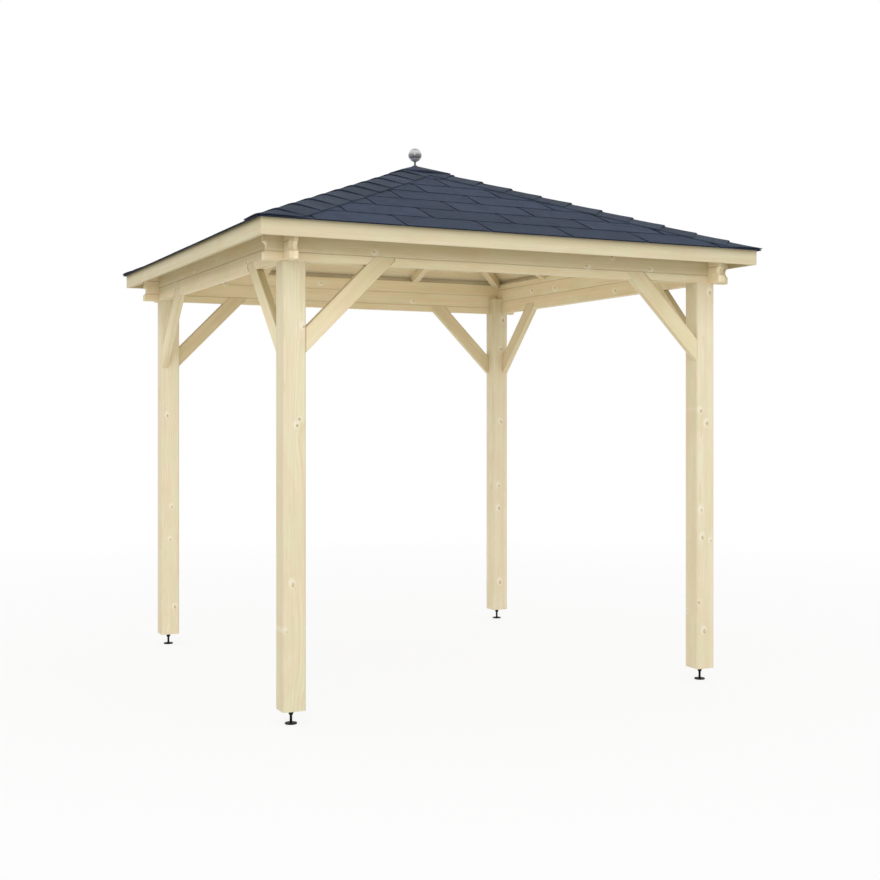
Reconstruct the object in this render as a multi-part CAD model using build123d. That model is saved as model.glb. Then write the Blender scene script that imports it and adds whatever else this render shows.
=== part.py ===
from build123d import *
import math
import os

# Garden gazebo: four square posts on screw feet, a ring of stacked planks,
# knee braces, a hipped rafter frame, a boarded roof with shingles and a ball.
# Origin on the ground under the middle of the roof, +Z up, front side towards -Y.

# Posts and their screw feet
frame_span = 2600.0
post_side = 120.0
post_round = 14.0
post_bottom = 70.0
tongue_height = 106.0
foot_plate_radius = 30.0
foot_plate_thick = 6.0
foot_rod_radius = 6.0
foot_rod_depth = 110.0
foot_nut_radius = 14.0
foot_nut_height = 10.0

# Ring of planks: full planks and half planks, crossed at the corners
ring_under = 2280.0
plank_thick = 45.0
plank_height = 88.0
plank_overhang = 95.0
cove_radius = 29.0
cove_depth = 17.0
cove_rise = 63.5

# Knee braces at 45 degrees, housed in the lowest planks
brace_leg = 448.0
brace_width = 90.0
brace_thick = 38.0
brace_set_back = 4.0
brace_nose = 17.0

# Roof frame
roof_pitch = 22.0
rafter_width = 45.0
rafter_depth = 50.0
rafter_drop = 22.0
rafter_place = 570.0
hip_depth = 70.0
fascia_out = 168.0
fascia_thick = 20.0
fascia_height = 87.0

# Roof skin
deck_thick = 18.0
shingle_thick = 6.0
shingle_overhang = 22.0
cap_thick = 4.0
cap_half_width = 160.0
apex_cap_half = 165.0

# Ball on the roof tip, on a rod that a nut holds under the meeting hip rafters
ball_radius = 41.5
ball_rod_radius = 6.0
ball_stem_height = 30.0
ball_flange_radius = 16.0
ball_flange_height = 5.0
ball_nut_radius = 11.0
ball_nut_height = 10.0
ball_rod_free_end = 60.0

# Clearance between pieces that are not pressed together
fit = 0.3

# Sizes that follow from the ones above
post_middle = (frame_span - post_side) / 2
post_inside = frame_span / 2 - post_side
ring_outside = frame_span / 2
ring_inside = ring_outside - plank_thick
ring_middle = ring_outside - plank_thick / 2
ring_reach = ring_outside + plank_overhang
half_plank = plank_height / 2
lap = plank_height / 4
ring_top = ring_under + half_plank + 2 * plank_height
slope = math.tan(math.radians(roof_pitch))
rise_per_thick = 1 / math.cos(math.radians(roof_pitch))
hip_rise_per_thick = math.hypot(1, slope / math.sqrt(2))
fascia_outside = ring_outside + fascia_out
fascia_inside = fascia_outside - fascia_thick
deck_reach = fascia_inside - fit
shingle_reach = fascia_outside + shingle_overhang
deck_under_tip = ring_top - rafter_drop + rafter_depth * rise_per_thick + slope * ring_inside
deck_top_tip = deck_under_tip + deck_thick * rise_per_thick
shingle_tip = deck_top_tip + shingle_thick * rise_per_thick
cap_tip = shingle_tip + cap_thick * rise_per_thick
apex_cap_tip = cap_tip + cap_thick * rise_per_thick
ball_seat = apex_cap_tip - slope * ball_flange_radius
hip_under_tip = deck_under_tip - hip_depth * hip_rise_per_thick
ball_nut_top = hip_under_tip - slope / math.sqrt(2) * ball_nut_radius - fit
far = 2 * frame_span

sides = {"front": 0, "right": 90, "back": 180, "left": 270}
corners = {"back_right": 0, "back_left": 90, "front_left": 180, "front_right": 270}


def turned(shape, angle):
    return Rot(0, 0, angle) * shape


def save(name, shape, angle=0):
    """Write one piece, or a group of like pieces, turned about the middle of the plan."""
    pieces = [turned(solid, angle) for solid in shape.solids()]
    export_step(pieces[0] if len(pieces) == 1 else Compound(children=pieces), f"parts/{name}.step")


def upright_rod(radius, low, high):
    return Pos(0, 0, (low + high) / 2) * Cylinder(radius, high - low)


def upright_nut(radius, low, height):
    return Pos(0, 0, low) * extrude(RegularPolygon(radius, 6), amount=height)


def tip_bore():
    """The hole through the roof's tip that the ball's rod passes."""
    return upright_rod(ball_rod_radius + fit, ring_under, far)


def across_front(outline, half_length):
    """Extrude an outline of (reach from the middle, height) points along the front side."""
    points = [(-reach, height) for reach, height in outline]
    face = make_face(Polyline(*points, close=True))
    return extrude(Plane.YZ * face, amount=half_length, both=True)


def front_wedge(inset=0):
    """The quarter of the plan in front of both hip lines, as a tall prism."""
    outline = Polyline((0, -inset), (far, -inset - far), (-far, -inset - far), close=True)
    return extrude(make_face(outline), amount=far)


def roof_height(tip, reach):
    return tip - slope * reach


def roof_layer(low_tip, high_tip, reach):
    outline = [
        (0, low_tip),
        (0, high_tip),
        (reach, roof_height(high_tip, reach)),
        (reach, roof_height(low_tip, reach)),
    ]
    return across_front(outline, reach) & front_wedge()


def above_roof(tip):
    """The space above the front plane of a roof surface, carried on past the ridge."""
    outline = [(-far, roof_height(tip, -far)), (far, roof_height(tip, far)), (far, roof_height(tip, -far))]
    return across_front(outline, far)


def post():
    shaft_height = ring_under + tongue_height - post_bottom
    shaft = Box(post_side, post_side, shaft_height)
    shaft = fillet(shaft.edges().filter_by(Axis.Z), post_round)
    shaft = Pos(post_middle, post_middle, post_bottom + shaft_height / 2) * shaft
    corner = Pos(0, 0, ring_under + tongue_height) * Box(far, far, 2 * tongue_height)
    tongue = Box(2 * ring_inside, 2 * ring_inside, far)
    shaft -= corner - tongue
    socket = upright_rod(foot_rod_radius + fit, 0, post_bottom + foot_rod_depth)
    return shaft - Pos(post_middle, post_middle, 0) * socket


def foot():
    plate = upright_rod(foot_plate_radius, 0, foot_plate_thick)
    rod = upright_rod(foot_rod_radius, 0, post_bottom + foot_rod_depth - fit)
    nut = upright_nut(foot_nut_radius, post_bottom - foot_nut_height, foot_nut_height)
    return Pos(post_middle, post_middle, 0) * (plate + rod + nut)


def brace_face():
    head = ring_under + half_plank
    foot_low = ring_under - brace_leg
    foot_high = foot_low + brace_width * math.sqrt(2)
    nose = head - brace_nose
    outline = Polyline(
        (post_inside, foot_low),
        (post_inside, foot_high),
        (post_inside - (head - foot_high), head),
        (post_inside - (nose - foot_low), head),
        (post_inside - (nose - foot_low), nose),
        close=True,
    )
    return Plane.XZ * make_face(outline)


def right_brace():
    middle = ring_outside - brace_set_back - brace_thick / 2
    return Pos(0, -middle, 0) * extrude(brace_face(), amount=brace_thick / 2, both=True)


def right_housing():
    grown = offset(brace_face(), amount=fit, kind=Kind.INTERSECTION)
    return Pos(0, -ring_middle, 0) * extrude(grown, amount=plank_thick, both=True)


def beam(heights, first_is_lapped):
    """One side of the ring: planks from the lowest up, with laps for the crossing side."""
    housings = right_housing() + right_housing().mirror(Plane.YZ)
    cove = Rot(90, 0, 0) * Cylinder(cove_radius, far)
    cove_middle = ring_reach - cove_depth + cove_radius
    coves = Pos(cove_middle, 0, ring_under + cove_rise) * cove
    coves += Pos(-cove_middle, 0, ring_under + cove_rise) * cove
    planks = []
    low = ring_under
    for height in heights:
        high = low + height - fit
        plank = Pos(0, -ring_middle, (low + high) / 2) * Box(2 * ring_reach, plank_thick, high - low)
        for x in (-ring_middle, ring_middle):
            notch = Pos(x, -ring_middle, 0) * Box(plank_thick + 2 * fit, far, 2 * lap)
            if first_is_lapped or low > ring_under:
                plank -= Pos(0, 0, low) * notch
            if not first_is_lapped or low + height < ring_top:
                plank -= Pos(0, 0, low + height) * notch
        plank -= housings
        plank -= coves
        for angle in (90, 270):
            plank -= turned(above_roof(deck_under_tip - fit), angle)
        planks += plank.solids()
        low += height
    return Compound(children=planks)


def ring_boxes():
    lengthwise = Box(2 * ring_reach, plank_thick, ring_top)
    crosswise = Box(plank_thick, 2 * ring_reach, ring_top)
    boxes = Pos(0, -ring_middle, ring_top / 2) * lengthwise
    boxes += Pos(0, ring_middle, ring_top / 2) * lengthwise
    boxes += Pos(-ring_middle, 0, ring_top / 2) * crosswise
    boxes += Pos(ring_middle, 0, ring_top / 2) * crosswise
    return boxes


def hip_rafter():
    """Runs from the roof tip to the fascia corner, with both upper faces bevelled."""
    run = fascia_inside * math.sqrt(2)
    fall = slope * fascia_inside
    outline = Polyline(
        (0, hip_under_tip),
        (0, deck_under_tip),
        (run, deck_under_tip - fall),
        (run, hip_under_tip - fall),
        close=True,
    )
    rafter = extrude(Plane.XZ * make_face(outline), amount=rafter_width / 2, both=True)
    rafter = Rot(0, 0, 45) * rafter
    quarter = Pos(fascia_inside / 2, fascia_inside / 2, far / 2) * Box(fascia_inside, fascia_inside, far)
    rafter &= quarter
    for angle in (90, 180):
        rafter -= turned(above_roof(deck_under_tip), angle)
    return rafter - ring_boxes() - tip_bore()


def jack_rafters():
    tip_low = deck_under_tip - rafter_depth * rise_per_thick
    outline = [
        (0, tip_low),
        (0, deck_under_tip),
        (fascia_inside, roof_height(deck_under_tip, fascia_inside)),
        (fascia_inside, roof_height(tip_low, fascia_inside)),
    ]
    clear_of_hip = rafter_width / 2 * math.sqrt(2)
    rafter = across_front(outline, rafter_width / 2)
    pair = []
    for x in (-rafter_place, rafter_place):
        pair.append((Pos(x, 0, 0) * rafter & front_wedge(clear_of_hip)) - ring_boxes())
    return Compound(children=pair)


def fascia():
    high = roof_height(deck_top_tip, fascia_outside)
    outline = [
        (fascia_outside, high - fascia_height),
        (fascia_inside, high - fascia_height),
        (fascia_inside, roof_height(deck_top_tip, fascia_inside)),
        (fascia_outside, high),
    ]
    return across_front(outline, fascia_outside) & front_wedge()


def above_ball_seat():
    return Pos(0, 0, ball_seat + far / 2) * Box(far, far, far)


def hip_caps():
    strip = Pos(far / 2, 0, far / 2) * Box(far, 2 * cap_half_width, far)
    diagonal = Rot(0, 0, 45) * strip
    quarter = Pos(far / 2 + fit / 2, far / 2 + fit / 2, far / 2) * Box(far, far, far)
    layer = roof_layer(shingle_tip, cap_tip, shingle_reach)
    both = turned(layer, 90) + turned(layer, 180)
    cap = (both & diagonal & quarter) - above_ball_seat() - tip_bore()
    return Compound(children=[turned(cap, angle).solid() for angle in (0, 90, 180, 270)])


def apex_cap():
    layer = roof_layer(cap_tip, apex_cap_tip, apex_cap_half)
    cap = layer
    for angle in (90, 180, 270):
        cap += turned(layer, angle)
    return cap - above_ball_seat() - tip_bore()


def ball():
    neck = ball_seat + ball_stem_height
    rod = upright_rod(ball_rod_radius, ball_nut_top - ball_nut_height - ball_rod_free_end, neck)
    flange = upright_rod(ball_flange_radius, ball_seat, ball_seat + ball_flange_height)
    nut = upright_nut(ball_nut_radius, ball_nut_top - ball_nut_height, ball_nut_height)
    middle = neck + math.sqrt(ball_radius**2 - ball_rod_radius**2)
    return rod + flange + nut + Pos(0, 0, middle) * Sphere(ball_radius)


os.makedirs("parts", exist_ok=True)

corner_post = post()
corner_foot = foot()
corner_hip = hip_rafter()
for corner, angle in corners.items():
    save(f"{corner}_post", corner_post, angle)
    save(f"{corner}_foot", corner_foot, angle)
    save(f"{corner}_hip_rafter", corner_hip, angle)

long_beam = beam((half_plank, plank_height, plank_height), False)
cross_beam = beam((plank_height, plank_height, half_plank), True)
beams = {"front": long_beam, "right": cross_beam, "back": long_beam, "left": cross_beam}
brace = right_brace()
rafters = jack_rafters()
edge_board = fascia()
deck = roof_layer(deck_under_tip, deck_top_tip, deck_reach) - tip_bore()
cover = roof_layer(deck_top_tip, shingle_tip, shingle_reach) - tip_bore()
for side, angle in sides.items():
    save(f"{side}_beam", beams[side], angle)
    save(f"{side}_right_brace", brace, angle)
    save(f"{side}_left_brace", brace.mirror(Plane.YZ), angle)
    save(f"{side}_jack_rafters", rafters, angle)
    save(f"{side}_fascia", edge_board, angle)
    save(f"{side}_roof_boards", deck, angle)
    save(f"{side}_shingles", cover, angle)

save("hip_caps", hip_caps())
save("apex_cap", apex_cap())
save("roof_ball", ball())
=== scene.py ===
import math
import random

import bpy
from mathutils import Matrix, Vector


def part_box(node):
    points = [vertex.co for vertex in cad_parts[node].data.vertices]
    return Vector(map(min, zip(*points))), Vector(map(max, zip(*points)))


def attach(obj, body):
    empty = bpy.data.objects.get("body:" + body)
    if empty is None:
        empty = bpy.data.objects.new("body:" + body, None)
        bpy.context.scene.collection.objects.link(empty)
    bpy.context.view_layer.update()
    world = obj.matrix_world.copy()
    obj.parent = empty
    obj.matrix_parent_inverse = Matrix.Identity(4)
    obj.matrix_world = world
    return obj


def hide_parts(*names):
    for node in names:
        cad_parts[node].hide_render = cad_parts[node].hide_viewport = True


# Garden gazebo: spruce frame on screw feet, boarded hipped roof with shingles.
# Everything is in metres, +Z up, front side towards -Y, as in the solids.

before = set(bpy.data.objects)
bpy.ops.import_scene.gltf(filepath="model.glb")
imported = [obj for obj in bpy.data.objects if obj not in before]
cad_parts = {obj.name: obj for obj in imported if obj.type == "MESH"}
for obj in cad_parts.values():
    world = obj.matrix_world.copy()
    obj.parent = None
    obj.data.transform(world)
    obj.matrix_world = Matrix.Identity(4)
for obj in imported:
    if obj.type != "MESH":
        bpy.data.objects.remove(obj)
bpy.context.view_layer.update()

SIDES = {"front": 0, "right": 90, "back": 180, "left": 270}
CORNERS = {"front_right": 0, "back_right": 90, "back_left": 180, "front_left": 270}
X_AXIS, Y_AXIS, Z_AXIS = (1, 0, 0), (0, 1, 0), (0, 0, 1)
HALF = math.sqrt(0.5)

# Roof planes, as in the solids
PITCH = math.radians(22)
SLOPE = math.tan(PITCH)
BOARD_THICK = 0.018
boards_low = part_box("front_roof_boards")[0]
SHINGLE_REACH = -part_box("front_shingles")[0].y
BOARDS_REACH = -boards_low.y
UNDER_TIP = boards_low.z + SLOPE * BOARDS_REACH
DECK_TIP = UNDER_TIP + BOARD_THICK / math.cos(PITCH)

# Roof boards
BOARD_COVER = 0.096
BOARD_JOINT = 0.0006
BOARD_CHAMFER = 0.004
BOARD_TIP_ROOM = 0.01
BOARD_HIP_ROOM = 0.0005

# How far a board's place in the endless wood is moved at most
BOARD_SHIFTS = (1, 1, 4)

# Strip shingles with two tabs, on a felt
COURSE = 0.214
SHORTEST_COURSE = 0.02
TAB_PITCH = 0.48
TAB_SLOT = 0.023
TAB_THICK = 0.0028
TAB_OVERLAP = 0.0002
TAB_HIP_ROOM = 0.003
TAB_TIP_ROOM = 0.006
FELT_THICK = 0.0008
FELT_TIP = 0.004
FELT_TONE = 0.2

# Where tabs start in even and in odd courses, from the middle of the slope
TAB_START = (-0.25, -0.01)

# A little more than the lowest tabs stand out of the boards
TAB_STAND = 3 * TAB_THICK

# Edges with both ends this near to a tab's foot belong to the foot
TAB_FOOT_NEAR = 0.001

# How much one tab differs from the next: its sides, its foot, and how far it curls up
TAB_SIDE_DRIFT = 0.002
TAB_FOOT_DRIFT = 0.003
TAB_CURL = 0.0006

# Hip caps in plan: distances along and across the hip
CAP_STEP = 0.131
CAP_LAP = 0.05
CAP_HALF = 0.16
CAP_SIDE_DRIFT = 0.003
CAP_FOLD = 0.016
CAP_START = 0.05
CAP_SHORTEST = 0.02

# Hip caps out of the roof: thickness, where the upper end lies, and how far the foot rises
CAP_THICK = 0.0045
CAP_BASE = 0.0048
CAP_LIFT = 0.003
CAP_CURL = 0.0015

# Sides of a cap: the share of that rise that they lack, and how much deeper their edges reach
CAP_SIDE_PRESS = 0.4
CAP_SKIRT = 0.0018

# Rows and columns of a cap's points, as shares of its length and of its half width
CAP_ROWS = (0.0, 0.35, 0.7, 1.0)
CAP_COLUMNS = (-1.0, -0.7, -0.4, -0.2, -0.1, -0.05, 0.0, 0.05, 0.1, 0.2, 0.4, 0.7, 1.0)

# Cover over the tip: half widths of its rings of points, and how its rim stands over the boards
APEX_HALF = 0.165
APEX_FLAT = 0.016
APEX_RINGS = (0.007, APEX_FLAT, 0.07, 0.12, APEX_HALF)
APEX_RIM_CORNER = 0.018
APEX_RIM_MIDDLE = 0.025
APEX_THICK = 0.006
APEX_TONE = 0.7

# Ring of planks
PLANK_HEIGHT = 0.088
RING_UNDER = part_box("front_beam")[0].z
BEAM_MIDDLE = -(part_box("front_beam")[0].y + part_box("front_beam")[1].y) / 2

# Rounding of sawn edges: widths, and which points are one, which faces are flat and what is an edge
BEAM_ROUND = 0.0025
FASCIA_ROUND = 0.0015
BRACE_ROUND = 0.002
ROUND_STEPS = 2
SAME_POINT = 0.00005
FLAT_ANGLE = math.radians(1)
EDGE_ANGLE = math.radians(30)

# Screw feet: root and crest of the thread over the rod, start over the ground, end below the post
ROD_RADIUS = 0.006
THREAD_PITCH = 0.00175
THREAD_ROOT = 0.0001
THREAD_DEPTH = 0.0008
THREAD_STEPS = 20
THREAD_LOW = 0.006
THREAD_POST_ROOM = 0.010

# Washers and lock nut: outer radius, top below the post, thickness, sides
WASHER = (0.0195, 0.0005, 0.003, 40)
LOCK_WASHER = (0.0145, 0.0125, 0.0025, 40)
LOCK_NUT = (0.0115, 0.0150, 0.0095, 6)
WASHER_BORE = ROD_RADIUS + 0.0005
WASHER_EDGE = 0.0006

# The points of metal pieces carry this tone, which their material doesn't show
METAL_TONE = 0.5


def turn(angle):
    """A turn about the vertical, in degrees."""
    return Matrix.Rotation(math.radians(angle), 3, "Z")


def srgb(red, green, blue):
    """A colour given as 0 to 255 screen values, in the linear values that shaders take."""
    linear = []
    for value in (red, green, blue):
        share = value / 255
        linear.append(share / 12.92 if share <= 0.04045 else ((share + 0.055) / 1.055) ** 2.4)
    return (*linear, 1.0)


def blended(a, b, share):
    """A colour part of the way from a to b."""
    return tuple(p + share * (q - p) for p, q in zip(a, b))


class Graph:
    """Short names for the nodes of one material."""

    def __init__(self, name):
        self.material = bpy.data.materials.new(name)
        self.material.use_nodes = True
        self.tree = self.material.node_tree
        self.shader = self.tree.nodes["Principled BSDF"]

    def add(self, kind, inputs=None, **settings):
        node = self.tree.nodes.new(kind)
        for key, value in settings.items():
            setattr(node, key, value)
        for key, value in (inputs or {}).items():
            self.put(node.inputs[key], value)
        return node

    def put(self, socket, value):
        if isinstance(value, bpy.types.NodeSocket):
            self.tree.links.new(value, socket)
        else:
            socket.default_value = value

    def math(self, operation, a, b=0.0):
        return self.add("ShaderNodeMath", {0: a, 1: b}, operation=operation).outputs[0]

    def vector(self, operation, a, b=(0, 0, 0)):
        node = self.add("ShaderNodeVectorMath", {0: a, 1: b}, operation=operation)
        return node.outputs["Value" if operation in ("LENGTH", "DOT_PRODUCT") else "Vector"]

    def noise(self, place, scale, detail=2.0, roughness=0.5, output="Fac"):
        """Noise with one scale, or with three for the three directions of place."""
        if isinstance(scale, tuple):
            place = self.vector("MULTIPLY", place, scale)
            scale = 1.0
        inputs = {"Vector": place, "Scale": scale, "Detail": detail, "Roughness": roughness}
        return self.add("ShaderNodeTexNoise", inputs).outputs[output]

    def span(self, value, low, high, to_low=0.0, to_high=1.0):
        """Maps a value smoothly from one range to another."""
        inputs = {0: value, 1: low, 2: high, 3: to_low, 4: to_high}
        return self.add("ShaderNodeMapRange", inputs, interpolation_type="SMOOTHSTEP").outputs[0]

    def mix(self, share, a, b, blend="MIX"):
        """Mixes two colours, which are this node's inputs 6 and 7."""
        node = self.add("ShaderNodeMix", {0: share, 6: a, 7: b}, data_type="RGBA", blend_type=blend)
        return node.outputs[2]

    def shaded(self, colour, factor):
        """A colour multiplied by one factor."""
        return self.mix(1.0, colour, self.join(factor, factor, factor), "MULTIPLY")

    def place(self):
        return self.add("ShaderNodeTexCoord").outputs["Object"]

    def attribute(self, name, output="Fac"):
        return self.add("ShaderNodeAttribute", attribute_name=name).outputs[output]

    def parts(self, vector):
        return self.add("ShaderNodeSeparateXYZ", {0: vector}).outputs

    def join(self, x, y, z):
        return self.add("ShaderNodeCombineXYZ", {0: x, 1: y, 2: z}).outputs[0]

    def bump(self, height, distance):
        inputs = {"Height": height, "Distance": distance, "Strength": 1.0}
        self.put(self.shader.inputs["Normal"], self.add("ShaderNodeBump", inputs).outputs[0])


# Spruce colours, as early and late wood, and the tints that patches take. POST_WOOD, paler and less
# saturated, is a lit copy of the spruce: painted light
PLANK_WOOD = (srgb(238, 226, 193), srgb(220, 197, 148))
POST_WOOD = (srgb(240, 231, 204), srgb(224, 206, 165))
ROSY_WOOD = srgb(232, 208, 174)
GREEN_WOOD = srgb(222, 220, 176)
TINT_SHARE = 0.6
PATCH_SHARE = 0.7
LATE_SHARE = 0.85

# Colours of a knot, and how much of each shows
KNOT_WOOD = (0.7, srgb(214, 190, 146))
KNOT_RIM = (0.75, srgb(176, 146, 104))
KNOT_HALO = (0.6, srgb(248, 243, 224))

# Scales of the noises in wood, two across the fibres and one along them, in cells a metre
BEND_SCALE = (5.0, 5.0, 0.9)
RAGGED_SCALE = (110.0, 110.0, 70.0)
BROKEN_SCALE = (60.0, 60.0, 60.0)
FIBRE_SCALE = (420.0, 420.0, 9.0)
STREAK_SCALE = (38.0, 38.0, 1.1)
PATCH_SCALE = (9.0, 9.0, 3.5)
HUE_SCALE = (14.0, 14.0, 5.0)

# Scale of the noise over the distance from the pith that makes rings uneven
UNEVEN_SCALE = 60.0

# Detail and roughness of the noises of fibres and patches
FINE_DETAIL = (3.0, 0.6)

# Ramps from such a noise to a share or a factor: two values, and what they become, if not 0 and 1
FIBRE_RAMP = (0.3, 0.75, 1.04, 0.94)
STREAK_RAMP = (0.35, 0.75, 0.0, 0.55)
PATCH_RAMP = (0.42, 0.68, 0.0, 0.75)
ROSY_RAMP = (0.4, 0.7, 0.0, 0.5)
GREEN_RAMP = (0.6, 0.3, 0.0, 0.5)
UNEVEN_RAMP = (0.3, 0.7, 0.2, 1.0)
BROKEN_RAMP = (0.4, 0.6)

# Growth rings: their width, how noise and knots bend them, and where a ring darkens and ends
RING_WIDTH = 0.0075
BEND_REACH = 0.085
KNOT_PULL = 0.006
KNOT_PULL_RATE = 60.0
KNOT_PULL_MOST = 0.02
RING_RISE = (0.25, 0.92)
RING_FALL = (1.0, 0.94)

# Where the origin of a piece's grain lies, seen from the middle of the rings
PITH = (0.05, 0.08)
POST_PITHS = {
    "front_right": (0.03, 0.09),
    "back_right": (-0.08, 0.05),
    "back_left": (0.07, -0.06),
    "front_left": (-0.04, -0.09),
}

# Small knots strewn through the wood: KNOT_SIZES is a ramp from a random value to the radius
KNOT_SPACING = Vector((0.14, 0.14, 0.40))
KNOT_RANDOMNESS = 0.9
KNOT_STRETCH = (1.0, 1.0, 0.8)
KNOT_SIZES = (0.35, 0.9, -0.004, 0.009)
KNOT_HALO_WIDTH = 0.002

# Placed knots: dark heart and pale wood as shares of the radius, and where the pale wood lies
KNOT_HEART_SHARE = 0.72
KNOT_PALE_SHARE = 1.25
KNOT_PALE_SHIFT = Vector((-0.006, -0.006, 0.007))

# How ragged the outline of every knot is
RAGGED_DEPTH = 0.016

# Ramps over the depth in a knot's heart, or in its pale wood
CORE_RAMP = (-0.001, 0.004)
RIM_RISE = (-0.001, 0.002)
RIM_FALL = (0.007, 0.003)
HALO_RISE = (-0.010, 0.005)
HALO_FALL = (0.005, -0.001)

# Knots that go through the posts from the front: height, place across, radius
POST_KNOTS = {
    "front_left": (
        (1.957, 0.045, 0.011),
        (1.471, 0.011, 0.010),
        (0.695, -0.010, 0.012),
        (0.466, -0.045, 0.008),
    ),
    "front_right": (
        (2.222, 0.028, 0.013),
        (1.549, -0.036, 0.011),
        (1.472, 0.007, 0.014),
        (0.976, -0.030, 0.013),
        (0.822, -0.024, 0.013),
        (0.800, 0.035, 0.009),
        (0.286, -0.010, 0.013),
    ),
    "back_left": (
        (1.520, -0.020, 0.010),
        (0.913, 0.010, 0.010),
        (0.698, -0.001, 0.009),
        (0.250, 0.030, 0.010),
    ),
    "back_right": (
        (2.223, 0.024, 0.014),
        (2.014, 0.004, 0.010),
        (1.471, 0.004, 0.013),
        (0.994, -0.013, 0.012),
        (0.824, -0.013, 0.014),
        (0.276, -0.004, 0.015),
    ),
}
POST_KNOT_MASK = Vector((1.0, 0.0, 0.75))

# Knots that go through the planks of the ring: distance along, height, radius
BEAM_KNOTS = {
    "front": ((0.437, 2.338, 0.010), (-0.823, 2.348, 0.010), (0.851, 2.342, 0.010), (0.599, 2.394, 0.009)),
    "right": ((0.733, 2.413, 0.014), (0.412, 2.405, 0.016), (-0.336, 2.322, 0.012), (-0.900, 2.380, 0.011)),
    "back": ((0.152, 2.452, 0.010), (0.842, 2.421, 0.011), (-0.560, 2.350, 0.010)),
    "left": ((-0.844, 2.372, 0.010), (-0.365, 2.400, 0.011), (0.128, 2.420, 0.010), (0.700, 2.330, 0.010)),
}
BEAM_KNOT_MASK = Vector((0.0, 1.0, 0.75))

# Where each plank of a stack and each piece lies in the endless wood, a step and a seed apart
PLANK_JUMP = (0.37, 0.013, 2.9)
SEED_JUMP = (3.1, 1.7, 5.3)
POST_SEED = 1
HIP_SEED = 11
BEAM_SEED = 21
FASCIA_SEED = 31
JACK_SEED = 41
BRACE_SEEDS = {"right": 61, "left": 51}
BOARD_SEED = 71

# V joints: half widths where they end and are full, start over the ring's underside, tone and relief
SEAM_HALF = (0.0045, 0.0008)
SEAM_START = (0.004, 0.012)
SEAM_TONE = 0.84
SEAM_DEPTH = 3.0

# Green and blue fall faster than red where painted shade darkens the wood
SHADE_GREEN = 1.05
SHADE_BLUE = 1.35

# Finish of planed wood: roughness and what fibres add to it, and relief and the shares in it
WOOD_ROUGHNESS = 0.5
FIBRE_ROUGHNESS = 0.2
WOOD_SPECULAR = 0.25
WOOD_RELIEF = 0.0005
FIBRE_RELIEF = 0.6
LATE_RELIEF = 0.5


def stacked(g, local, courses):
    """Moves each stacked plank to wood of its own, and gives the share of V joint at a point.

    courses is the height of the lowest seam and of one plank."""
    first, plank = courses
    height = g.parts(g.place())[2]
    rise = g.math("DIVIDE", g.math("SUBTRACT", height, first), plank)
    step = g.math("FLOOR", rise)
    jump = g.vector("MULTIPLY", g.join(step, step, step), PLANK_JUMP)
    share = g.math("FRACT", rise)
    seam = g.math("MULTIPLY", g.math("MINIMUM", share, g.math("SUBTRACT", 1.0, share)), plank)
    above = g.span(height, *[RING_UNDER + start for start in SEAM_START])
    joint = g.math("MULTIPLY", g.span(seam, *SEAM_HALF), above)
    return g.vector("ADD", local, jump), joint


def knot_depths(g, point, fixed, knots):
    """How deep a point lies in the dark heart of a knot, and in the pale wood beside one."""
    cell = g.vector("DIVIDE", point, KNOT_SPACING)
    cells = g.add("ShaderNodeTexVoronoi", {"Vector": cell, "Scale": 1.0, "Randomness": KNOT_RANDOMNESS})
    middle = g.vector("MULTIPLY", cells.outputs["Position"], KNOT_SPACING)
    reach = g.vector("LENGTH", g.vector("MULTIPLY", g.vector("SUBTRACT", point, middle), KNOT_STRETCH))
    pick = g.parts(cells.outputs["Color"])[0]
    heart = g.math("SUBTRACT", g.span(pick, *KNOT_SIZES), reach)
    pale = g.math("ADD", heart, KNOT_HALO_WIDTH)
    for centre, radius, mask in knots:
        away = g.vector("MULTIPLY", g.vector("SUBTRACT", fixed, centre), mask)
        inside = g.math("SUBTRACT", KNOT_HEART_SHARE * radius, g.vector("LENGTH", away))
        heart = g.math("MAXIMUM", heart, inside)
        beside = g.vector("SUBTRACT", away, KNOT_PALE_SHIFT * mask)
        inside = g.math("SUBTRACT", KNOT_PALE_SHARE * radius, g.vector("LENGTH", beside))
        pale = g.math("MAXIMUM", pale, inside)
    ragged = g.math("SUBTRACT", g.noise(point, RAGGED_SCALE), 0.5)
    heart = g.math("ADD", heart, g.math("MULTIPLY", ragged, RAGGED_DEPTH))
    return heart, pale


def late_wood(g, local, point, pith, heart):
    """The share of dark late wood in rings round the pith, bent by slow noise and by knots."""
    bend = g.noise(point, BEND_SCALE, output="Color")
    bend = g.vector("SUBTRACT", bend, (0.5, 0.5, 0.5))
    bend = g.vector("MULTIPLY", bend, (BEND_REACH, BEND_REACH, BEND_REACH))
    around = g.vector("ADD", local, g.vector("ADD", bend, (*pith, 0)))
    radius = g.vector("LENGTH", g.vector("MULTIPLY", around, (1, 1, 0)))
    pull = g.math("EXPONENT", g.math("MULTIPLY", heart, KNOT_PULL_RATE))
    pull = g.math("MINIMUM", g.math("MULTIPLY", pull, KNOT_PULL), KNOT_PULL_MOST)
    radius = g.math("ADD", radius, pull)
    ring = g.math("FRACT", g.math("DIVIDE", radius, RING_WIDTH))
    late = g.math("MULTIPLY", g.span(ring, *RING_RISE), g.span(ring, *RING_FALL))
    uneven = g.noise(g.join(g.math("MULTIPLY", radius, UNEVEN_SCALE), 0.0, 0.0), 1.0)
    return g.math("MULTIPLY", late, g.span(uneven, *UNEVEN_RAMP))


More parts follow.
